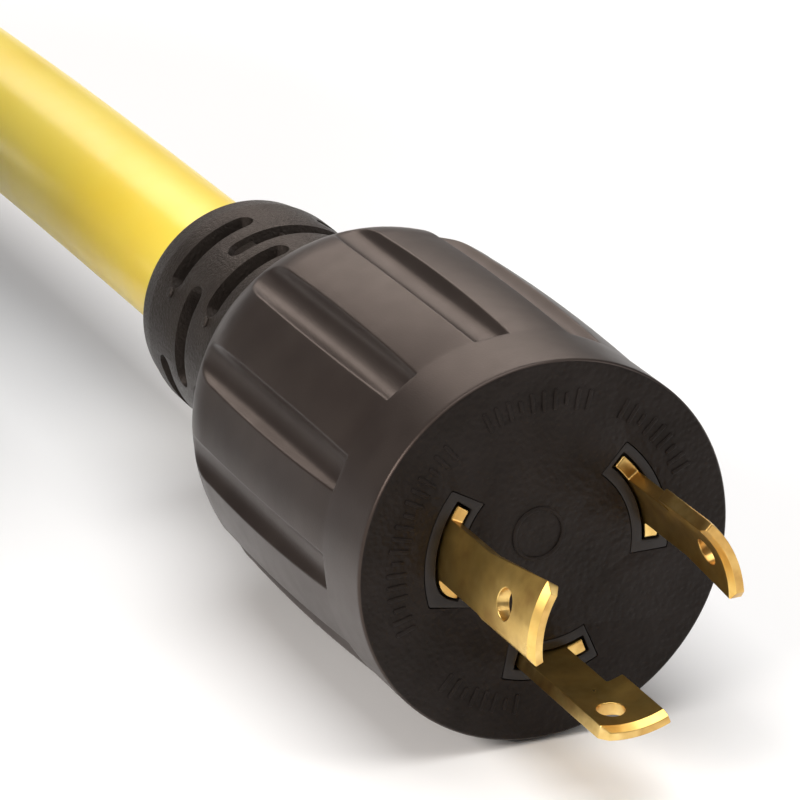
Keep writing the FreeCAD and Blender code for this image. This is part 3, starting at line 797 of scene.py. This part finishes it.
def face_marks(device):
    """Plain raised bars round the face and a ring beside its middle."""
    outlines = []
    for low, high in MARK_ARCS:
        for k in range(int((high - low) / MARK_STEP) + 1):
            out = Vector(polar(1.0, low + k * MARK_STEP))
            side = Vector((-out.y, out.x)) * MARK_W / 2
            length = MARK_L * (SHORT_MARK if k % 4 == 2 else 1.0)
            ends = (out * (MARK_R - length / 2), out * (MARK_R + length / 2))
            corners = (ends[0] - side, ends[1] - side, ends[1] + side, ends[0] + side)
            outlines.append(rounded(corners, 0.2, 2))
    for radius in (RING_R, RING_R - MARK_W):
        ring = [Vector(polar(radius, 360.0 * i / RING_POINTS)) for i in range(RING_POINTS)]
        outlines.append([tuple(Vector(RING_CENTRE) + point) for point in ring])
    bm = slab(outlines, 2 * MARK_H, 0.12)
    for vert in bm.verts:
        vert.co = Vector((vert.co.z + MARK_H, vert.co.x, vert.co.y))
    marks = finish_mesh(device["prefix"] + "face_marks", bm, device, [FACE])
    soften(marks, 50)
    return settle(marks, "grip_rubber")


# =============================== blades ===============================
def blade_path(name):
    """Middle line of a blade's section; the ground's lower end is bent inward into a foot."""
    middle = BLADES[name]["outer_r"] - BLADE_T / 2
    low, high = BLADES[name]["root"]
    if name != "ground":
        return arc_points(middle, low - SPARE, high + SPARE, 1.0)
    path = arc_points(middle, low - SPARE, high, 1.0)
    centre = Vector(polar(middle - FOOT_BEND_R, high))
    for i in range(1, FOOT_STEPS + 1):
        path.append(tuple(centre + Vector(polar(FOOT_BEND_R, high + FOOT_TURN * i / FOOT_STEPS))))
    along = Vector(polar(FOOT_L, high + FOOT_TURN + 90))
    return path + [tuple(Vector(path[-1]) + along)]


def path_lengths(path):
    """Distance along a path to each of its points."""
    lengths = [0.0]
    for a, b in zip(path, path[1:]):
        lengths.append(lengths[-1] + math.hypot(b[0] - a[0], b[1] - a[1]))
    return lengths


def along_path(path, lengths, u):
    """Point and outward normal at a distance along a section's middle line."""
    i = 0
    while i < len(path) - 2 and lengths[i + 1] < u:
        i += 1
    a, b = Vector(path[i]), Vector(path[i + 1])
    t = (u - lengths[i]) / (lengths[i + 1] - lengths[i])
    before = Vector(path[max(i - 1, 0)])
    after = Vector(path[min(i + 2, len(path) - 1)])
    tangent = (b - before).lerp(after - a, t).normalized()
    return a.lerp(b, t), Vector((tangent.y, -tangent.x))


def across(name, degrees):
    """Distance along a blade's middle line to an angle; past its bend the line goes on."""
    middle = BLADES[name]["outer_r"] - BLADE_T / 2
    return math.radians(degrees - BLADES[name]["root"][0] + SPARE) * middle


def blade_outline(name):
    """Unrolled outline of a blade and its hole: x across it, y out of the face."""
    spec = BLADES[name]
    length = spec["length"]
    path = blade_path(name)
    root_low, root_high = (across(name, a) for a in spec["root"])
    neck_low, neck_high = (across(name, a) for a in spec["neck"])
    tip_low, tip_high = (across(name, a) for a in spec["tip"])
    if name == "ground":
        root_high = path_lengths(path)[-1]
    outline = [
        (root_low, -BLADE_BURIED), (root_high, -BLADE_BURIED), (root_high, NOTCH_FROM),
        (neck_high, NOTCH_FROM), (neck_high, SHOULDER_H), (tip_high, SHOULDER_H),
        (tip_high, length), (tip_low + TIP_CORNER[0], length), (tip_low, length - TIP_CORNER[1]),
        (neck_low, SHOULDER_H), (neck_low, NOTCH_FROM), (root_low, NOTCH_FROM),
    ]
    if neck_low == root_low:        # that edge is straight, so it has no notch
        outline = outline[:-3]
    centre = across(name, spec["hole"])
    hole = [(centre + HOLE_R * math.cos(t), HOLE_S + HOLE_R * math.sin(t))
            for t in (2 * math.pi * i / 32 for i in range(32))]
    return rounded(outline, 0.3), hole, path


def blade(name):
    """A stamped blade, bent to the circle that it turns on, with bright sheared edges."""
    outline, hole, path = blade_outline(name)
    lengths = path_lengths(path)
    length = BLADES[name]["length"]
    chamfer_out, chamfer_in = BLADES[name]["chamfer"]
    lip = across(name, LIP_FROM) if name == "ground" else lengths[-1]
    bm = slab([outline, hole], BLADE_T, 0.1)
    bm.normal_update()
    for face in bm.faces:
        face.material_index = 1 if abs(face.normal.z) < 0.9 else 0
    columns = range(1, int(lengths[-1] / STEP_ACROSS) + 1)
    rows = range(int((length - TIP_TAPER) / STEP_ALONG) + 1)
    cut_across(bm, 0, [STEP_ACROSS * i for i in columns] + [lip])
    cut_across(bm, 1, [STEP_ALONG * i for i in rows] + [length - TIP_TAPER])

    def bend(place):
        """Lay a point of the flat blade on the bent one, and chamfer the tip."""
        point, outward = along_path(path, lengths, place.x)
        over = max(place.y - (length - TIP_TAPER), 0.0) / TIP_TAPER
        corner = LIP_SLOPE * max(place.x - lip, 0.0) if place.y > SHOULDER_H - 1 else 0.0
        high = BLADE_T / 2 - max(chamfer_out * over, corner)
        low = -BLADE_T / 2 + chamfer_in * over
        y, z = point + outward * (low + (high - low) * (place.z / BLADE_T + 1))
        return Vector((place.y, y, z))

    piece = finish_mesh("blade_" + name, bm, PLUG, [BRASS, EDGE], bend)
    soften(piece, 20)
    return settle(piece, "brass", "plug_blade_" + name)


def slot_outline(name, grow):
    """The opening that a blade's root stands in, wider than it by this much."""
    path = blade_path(name)
    lengths = path_lengths(path)
    low = across(name, BLADES[name]["root"][0]) - grow
    high = lengths[-1] if name == "ground" else across(name, BLADES[name]["root"][1]) + grow
    sides = ([], [])
    for i in range(SLOT_STEPS + 1):
        point, outward = along_path(path, lengths, low + (high - low) * i / SLOT_STEPS)
        for side, sign in zip(sides, (1, -1)):
            side.append(point + outward * sign * (BLADE_T / 2 + grow))
    if name == "ground":
        along = Vector(polar(grow, BLADES[name]["root"][1] + FOOT_TURN + 90))
        for side in sides:
            side.append(side[-1] + along)
    return rounded(sides[0] + sides[1][::-1], 0.2)


def collars(device, depth, node):
    """The insert's three collars, flush with the face, each with its slot."""
    bm = bmesh.new()
    for name in NAMES:
        outlines = [collar_outline(name, -COLLAR_GAP), slot_outline(name, SLOT_GAP)]
        plate = slab(outlines, depth, 0.12)
        for vert in plate.verts:
            vert.co = Vector((vert.co.z, vert.co.x, vert.co.y))
        join_into(bm, plate)
    piece = finish_mesh(device["prefix"] + "collars", bm, device, [INSERT])
    soften(piece, 35)
    return settle(piece, "insert_plastic", node)


# =============================== strain relief ===============================
def bent_bar(s, middle, arc, width, floors, high, edge=0.0):
    """A bar with round ends that lies round the relief.

    Its inner radius is given up to each of a row of angles, and may change by steps.
    """
    outline = []
    reach = math.radians(arc / 2) * RELIEF_R - width / 2
    for i in range(2 * END_POINTS):
        turn = math.pi * (i - i // END_POINTS) / (END_POINTS - 1) - math.pi / 2
        outline.append((width / 2 * math.cos(turn) + (reach if i < END_POINTS else -reach),
                        width / 2 * math.sin(turn)))
    bm = slab([outline], 1.0, edge)
    steps = [math.radians(limit - middle) * RELIEF_R for limit, _ in floors[:-1]]
    cuts = [i * BAR_STEP for i in range(-BAR_CUTS, BAR_CUTS + 1)]
    cut_across(bm, 0, cuts + [step + d for step in steps for d in (-0.15, 0.15)])
    for vert in bm.verts:
        angle = middle + math.degrees(vert.co.x / RELIEF_R)
        low = next(radius for limit, radius in floors if angle <= limit)
        vert.co = Vector((s + vert.co.y, *polar(high + vert.co.z * (high - low), angle)))
    return bm


def strain_relief(device):
    """Grainy sleeve round the cord, with staggered rows of slots and two moulding pips."""
    front = -BODY_L - device["stretch"]
    rear = front - RELIEF_L
    taper = rear + RELIEF_TAPER_L
    # From the part inside the body back to where the taper starts, down to the rounded rim,
    # and in to the cord.
    profile = [(front + 3, RELIEF_R), (front - 1, RELIEF_R), (front - 12, RELIEF_R)]
    profile += [(taper + 0.5, RELIEF_R), (taper, RELIEF_R - 0.06), (taper - 0.5, RELIEF_R - 0.2)]
    profile += [(rear + 0.8, RELIEF_END_R + 0.25), (rear + 0.3, RELIEF_END_R + 0.02),
                (rear + 0.05, RELIEF_END_R - 0.25), (rear, RELIEF_END_R - 0.6)]
    profile += [(rear, CORD_D / 2 + 0.4), (rear + 0.2, CORD_D / 2 + 0.1)]
    relief = finish_mesh(device["prefix"] + "relief_sleeve", lathe(profile), device, [RELIEF])
    cutters, pips = bmesh.new(), bmesh.new()
    for row, behind in enumerate(SLOT_ROWS):
        for k in range(SLOTS_PER_ROW):
            middle = SLOT_PHASE + (row % 2) * SLOT_STAGGER + k * 360.0 / SLOTS_PER_ROW
            arc, floors = SLOT_ARC, ((middle + 180, SLOT_BOTTOM),)
            if row == 1 and k == SLOTS_PER_ROW - 1:
                middle, arc, floors = LONG_SLOT
            slot = bent_bar(front - behind, middle, arc, SLOT_W, floors, RELIEF_R + 1)
            join_into(cutters, slot)
        if row != 1:
            floors = ((180, RELIEF_R - PIP_BURIED),)
            pip = bent_bar(front - behind, *PIP, floors, RELIEF_R + PIP_H, edge=0.3)
            join_into(pips, pip)
    cutter = finish_mesh("slots", cutters, device, [RELIEF])
    boolean_cut(relief, cutter, SLOT_EDGE, angle=55)
    pip_piece = finish_mesh(device["prefix"] + "relief_pips", pips, device, [RELIEF])
    soften(pip_piece, 60)
    settle(pip_piece, "relief_rubber")
    soften(relief, 45)
    return settle(relief, "relief_rubber", device["prefix"] + "strain_relief")


# =============================== coil's ties ===============================
def strap_section(angle, out):
    """Outline, in radius and height, of a strap pulled tight round the turns."""
    points = []
    first = (angle - COIL_START_DEG) / 360.0 % 1.0
    for k in range(int(COIL_TURNS - first) + 1):
        radius, height = coil_place(first + k)
        for degrees in range(0, 360, 15):
            y, z = polar(CORD_D / 2 + out, degrees)
            points.append(Vector((radius + y, height + z)))
    return [points[i] for i in convex_hull_2d(points)]


def strap(angle):
    """The outer surface of a woven strap round the bundle of turns."""
    half = math.degrees(TIE_W / 2 / COIL_MEAN_R)
    outer = strap_section(angle, TIE_T)
    centre = sum(outer, Vector((0, 0))) / len(outer)
    rings = []
    for i in range(TIE_STEPS + 1):
        turn = math.radians(angle - half + 2 * half * i / TIE_STEPS)
        shrink = TIE_EDGE if i in (0, TIE_STEPS) else 0.0
        ring = []
        for point in outer:
            place = point + (centre - point).normalized() * shrink
            ring.append((COIL_CENTRE[0] + place.x * math.cos(turn),
                         COIL_CENTRE[1] + place.x * math.sin(turn), place.y))
        rings.append(ring)
    return grid(rings, closed_ends=False)


def ties():
    """The two straps that hold the coil."""
    bm = bmesh.new()
    for angle in TIE_ANGLES:
        join_into(bm, strap(angle))
    still = {"face": Vector((0, 0, 0)), "hand": 1}
    piece = finish_mesh("ties", bm, still, [TIE])
    solid = piece.modifiers.new("thickness", "SOLIDIFY")
    solid.thickness = TIE_T * MM
    solid.offset = -1.0
    apply_modifiers(piece)
    soften(piece, 40)
    return settle(piece, "tie_fabric", "coil_ties")


# =============================== the object ===============================
def carried_over(device):
    """Give the CAD pieces that stay their materials."""
    prefix = device["prefix"]
    looks = {"inner_mould": INNER, "jacket_end": JACKET, "filler": FILLER}
    for name in NAMES:
        looks["insulation_" + name] = CORES[name]
        looks["copper_" + name] = COPPER
        if device is CONNECTOR:
            looks["contact_" + name] = BRASS
    for name, material in looks.items():
        node = frame["nodes"][prefix + name]
        node.data.materials.clear()
        node.data.materials.append(material)


for device in (PLUG, CONNECTOR):
    moulded_body(device)
    face_marks(device)
    strain_relief(device)
    carried_over(device)
collars(PLUG, COLLAR_DEPTH, "plug_blade_bridge")
collars(CONNECTOR, CONNECTOR_COLLAR_DEPTH, "connector_contact_bridge")
for name in NAMES:
    blade(name)
tie_piece = ties()

cord.data.materials.append(JACKET)
settle(cord, "cord_jacket", "cord_lead", "cord_coil", "cord_tail")
# The coil beside the plug throws no yellow reflection or light on it and on the floor.
cord.visible_glossy = False
cord.visible_diffuse = False
far_pieces = [tie_piece]
far_pieces += [bpy.data.objects["connector_" + name]
               for name in ("body_shell", "face_marks", "relief_sleeve", "relief_pips", "collars")]
far_pieces += [frame["nodes"][n] for n in sorted(frame["nodes"])
               if n.startswith("connector_") and not frame["nodes"][n].hide_render]


# =============================== floor and light ===============================
def make_floor():
    """A wide pale sheet under the object."""
    bm = bmesh.new()
    bmesh.ops.create_grid(bm, x_segments=1, y_segments=1, size=FLOOR_HALF)
    mesh = bpy.data.meshes.new("floor")
    bm.to_mesh(mesh)
    bm.free()
    floor = bpy.data.objects.new("floor", mesh)
    bpy.context.collection.objects.link(floor)
    mesh.materials.append(Look("floor", (0.92, 0.92, 0.92), 0.9).material)


def area_light(name, place, target, size, power, colour):
    """A soft rectangular light that faces the target."""
    light = bpy.data.lights.new(name, "AREA")
    light.shape = "RECTANGLE"
    light.size, light.size_y = size
    light.energy = power
    light.color = colour
    lamp = bpy.data.objects.new(name, light)
    bpy.context.collection.objects.link(lamp)
    lamp.location = place
    lamp.rotation_euler = (Vector(target) - Vector(place)).to_track_quat("-Z", "Y").to_euler()


def make_light():
    """A large soft light above, weaker ones behind and at both sides, and a dim studio."""
    for light in LIGHTS:
        area_light(*light)
    world = bpy.data.worlds.new("studio")
    bpy.context.scene.world = world
    world.use_nodes = True
    background = world.node_tree.nodes["Background"]
    background.inputs["Color"].default_value = (1, 1, 1, 1)
    background.inputs["Strength"].default_value = STUDIO_LIGHT
    bpy.context.scene.view_settings.view_transform = "Standard"


make_floor()
make_light()
